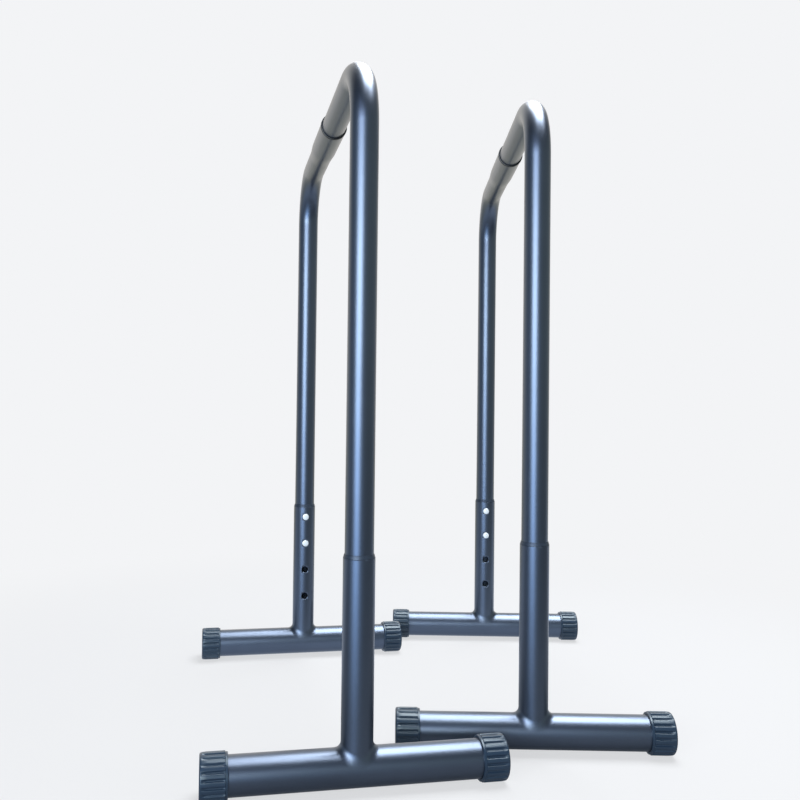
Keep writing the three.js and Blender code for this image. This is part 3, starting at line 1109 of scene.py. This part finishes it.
def floor_material(colour):
    """Pale paper: it takes the object's shadow near the object and fades into the backdrop.

    In reflections it shows painted light and shade: pale behind the object, dim in front, and a
    painted pool of light where the key lamp's beam would fall."""
    material = bpy.data.materials.new("pale_paper")
    tree = empty_tree(material)
    place = (add_node(tree, "ShaderNodeTexCoord", {}, {}), "Object")
    along_y = (add_node(tree, "ShaderNodeSeparateXYZ", {}, {"Vector": place}), "Y")
    # Painted light and shade which only reflections see: the floor is dim grey in front, pale blue
    # in the middle and warm pale behind
    to_middle = share_along(tree, along_y, *FLOOR_FRONT)
    front = colour_between(tree, to_middle, linear("#70767e"), linear("#d8e4f6"))
    to_rear = share_along(tree, along_y, *FLOOR_REAR)
    room = colour_between(tree, to_rear, front, linear("#cfcdbe"))
    glow = add_node(tree, "ShaderNodeEmission", {}, {
        "Color": backdrop_colour(tree, colour, room),
        "Strength": backdrop_level(tree, FLOOR_LIGHT),
    })
    # A painted pool of light, which only reflections see: the floor glows where the key lamps' beam
    # would fall
    from_key = vector_math(tree, "SUBTRACT", "Vector", place, (*KEY_PLACE, 0.0))
    along = vector_math(tree, "DOT_PRODUCT", "Value", from_key, tuple(PAINTED_POOL_AXIS))
    beside = (PAINTED_POOL_AXIS.y, -PAINTED_POOL_AXIS.x, 0.0)
    across = vector_math(tree, "DOT_PRODUCT", "Value", from_key, beside)
    fall = add_node(tree, "ShaderNodeMapRange", {}, {
        "Value": along, "From Min": PAINTED_POOL_FADE[0], "From Max": PAINTED_POOL_FADE[1],
        "To Min": PAINTED_POOL_STRENGTH, "To Max": 0.0,
    })
    edge = share_along(tree, calculate(tree, "ABSOLUTE", across), *PAINTED_POOL_EDGE, 1.0, 0.0)
    painted_pool_level = calculate(tree, "MULTIPLY", (fall, "Result"), edge)
    path = add_node(tree, "ShaderNodeLightPath", {}, {})
    painted_pool = add_node(tree, "ShaderNodeEmission", {}, {
        "Color": linear("#b0d6ff"),
        "Strength": calculate(tree, "MULTIPLY", painted_pool_level, (path, "Is Glossy Ray")),
    })
    away = vector_math(tree, "LENGTH", "Value", place)
    share = share_along(tree, away, *SHADOW_FADE, SHADOW_SHARE, 0.0)
    paper = add_node(tree, "ShaderNodeBsdfDiffuse", {}, {"Color": scaled(colour, PAPER_SHADE)})
    mix = add_node(tree, "ShaderNodeMixShader", {}, {
        0: share, 1: (glow, "Emission"), 2: (paper, "BSDF"),
    })
    total = add_node(tree, "ShaderNodeAddShader", {}, {0: (mix, "Shader"), 1: (painted_pool, "Emission")})
    add_node(tree, "ShaderNodeOutputMaterial", {}, {"Surface": (total, "Shader")})
    return material


def pale_world(colour):
    """A backdrop that is pale to the eye. In reflections it is pale behind the object, dim at the
    sides and behind the camera, and dark overhead."""
    world = bpy.data.worlds.new("pale_backdrop")
    bpy.context.scene.world = world
    tree = empty_tree(world)
    direction = add_node(tree, "ShaderNodeTexCoord", {}, {})
    parts = add_node(tree, "ShaderNodeSeparateXYZ", {}, {"Vector": (direction, "Generated")})
    to_right = share_along(tree, (parts, "X"), -0.6, 0.6)
    sides = colour_between(tree, to_right, linear("#8c9cac"), linear("#aab3ad"))
    overhead = share_along(tree, (parts, "Z"), 0.2, 0.65)
    walls = colour_between(tree, overhead, sides, linear("#3c444e"))
    behind = share_along(tree, (parts, "Y"), 0.2, 0.9)
    room = colour_between(tree, behind, walls, linear("#fffaf1"))
    glow = add_node(tree, "ShaderNodeBackground", {}, {
        "Color": backdrop_colour(tree, colour, room),
        "Strength": backdrop_level(tree, BACKDROP_LIGHT),
    })
    add_node(tree, "ShaderNodeOutputWorld", {}, {"Surface": (glow, "Background")})


# The photograph's camera: place in metres, angles in radians, and focal length in its pixels
CAMERA_PLACE = (-0.396665, -1.42958, 0.478692)
CAMERA_YAW = 0.197
CAMERA_PITCH = 0.02
CAMERA_ROLL = 0.012
CAMERA_FOCAL_PIXELS = 838.522
CAMERA_MIDDLE_PIXEL = 375.0
PHOTO_PIXELS = 800
SENSOR_MM = 36


def add_camera():
    """The camera at the photograph's angle."""
    data = bpy.data.cameras.new("camera")
    data.sensor_width = SENSOR_MM
    data.lens = CAMERA_FOCAL_PIXELS * SENSOR_MM / PHOTO_PIXELS
    data.shift_x = (PHOTO_PIXELS / 2 - CAMERA_MIDDLE_PIXEL) / PHOTO_PIXELS
    data.clip_start = 0.02
    forward = Vector((
        math.sin(CAMERA_YAW) * math.cos(CAMERA_PITCH),
        math.cos(CAMERA_YAW) * math.cos(CAMERA_PITCH),
        math.sin(CAMERA_PITCH),
    ))
    level = Vector((math.cos(CAMERA_YAW), -math.sin(CAMERA_YAW), 0))
    upright = level.cross(forward)
    right = level * math.cos(CAMERA_ROLL) + upright * math.sin(CAMERA_ROLL)
    up = upright * math.cos(CAMERA_ROLL) - level * math.sin(CAMERA_ROLL)
    camera = bpy.data.objects.new("camera", data)
    bpy.context.scene.collection.objects.link(camera)
    facing = Matrix((right, up, -forward)).transposed().to_4x4()
    camera.matrix_world = Matrix.Translation(CAMERA_PLACE) @ facing
    bpy.context.scene.camera = camera


class DIPSTATION_OT_stage(bpy.types.Operator):
    """Adds the floor, the lamps, the backdrop and the camera"""

    bl_idname = "dip_station.stage"
    bl_label = "Stage"

    def execute(self, context):
        backdrop = tuple(context.scene.dip_station_colours.backdrop)
        context.scene.view_settings.view_transform = "Standard"
        bpy.ops.object.select_all(action="DESELECT")
        bpy.ops.mesh.primitive_plane_add(size=FLOOR_SIZE, location=(0, 0, 0))
        floor = context.active_object
        floor.name = "floor"
        floor.data.materials.append(floor_material(backdrop))
        pale_world(backdrop)
        for lamp in LAMPS:
            area_lamp(*lamp)
        add_camera()
        return {"FINISHED"}


class DIPSTATION_PT_panel(bpy.types.Panel):
    """Lists the pieces, the stage, the sizes and the colours"""

    bl_idname = "DIPSTATION_PT_panel"
    bl_label = "Dip station"
    bl_space_type = "VIEW_3D"
    bl_region_type = "UI"
    bl_category = "Dip station"

    def draw(self, context):
        for operator in OPERATORS:
            self.layout.operator(operator.bl_idname)
        for group in (context.scene.dip_station_sizes, context.scene.dip_station_colours):
            box = self.layout.box()
            for name in group.bl_rna.properties.keys():
                if name not in {"rna_type", "name"}:
                    box.prop(group, name)


OPERATORS = (
    DIPSTATION_OT_front_halves,
    DIPSTATION_OT_rear_halves,
    DIPSTATION_OT_joint_rings,
    DIPSTATION_OT_joint_screws,
    DIPSTATION_OT_sleeves,
    DIPSTATION_OT_bushes,
    DIPSTATION_OT_foot_tubes,
    DIPSTATION_OT_end_caps,
    DIPSTATION_OT_snap_buttons,
    DIPSTATION_OT_leaf_springs,
    DIPSTATION_OT_stage,
)
CLASSES = (DipStationSizes, DipStationColours, *OPERATORS, DIPSTATION_PT_panel)


def register():
    for cls in CLASSES:
        bpy.utils.register_class(cls)
    bpy.types.Scene.dip_station_sizes = PointerProperty(type=DipStationSizes)
    bpy.types.Scene.dip_station_colours = PointerProperty(type=DipStationColours)


def unregister():
    del bpy.types.Scene.dip_station_colours
    del bpy.types.Scene.dip_station_sizes
    for cls in reversed(CLASSES):
        bpy.utils.unregister_class(cls)


def main():
    """Registers the add-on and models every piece."""
    register()
    bpy.ops.dip_station.front_halves()
    bpy.ops.dip_station.rear_halves()
    bpy.ops.dip_station.joint_rings()
    bpy.ops.dip_station.joint_screws()
    bpy.ops.dip_station.sleeves()
    bpy.ops.dip_station.bushes()
    bpy.ops.dip_station.foot_tubes()
    bpy.ops.dip_station.end_caps()
    bpy.ops.dip_station.snap_buttons()
    bpy.ops.dip_station.leaf_springs()
    bpy.ops.dip_station.stage()


if __name__ == "__main__":
    main()
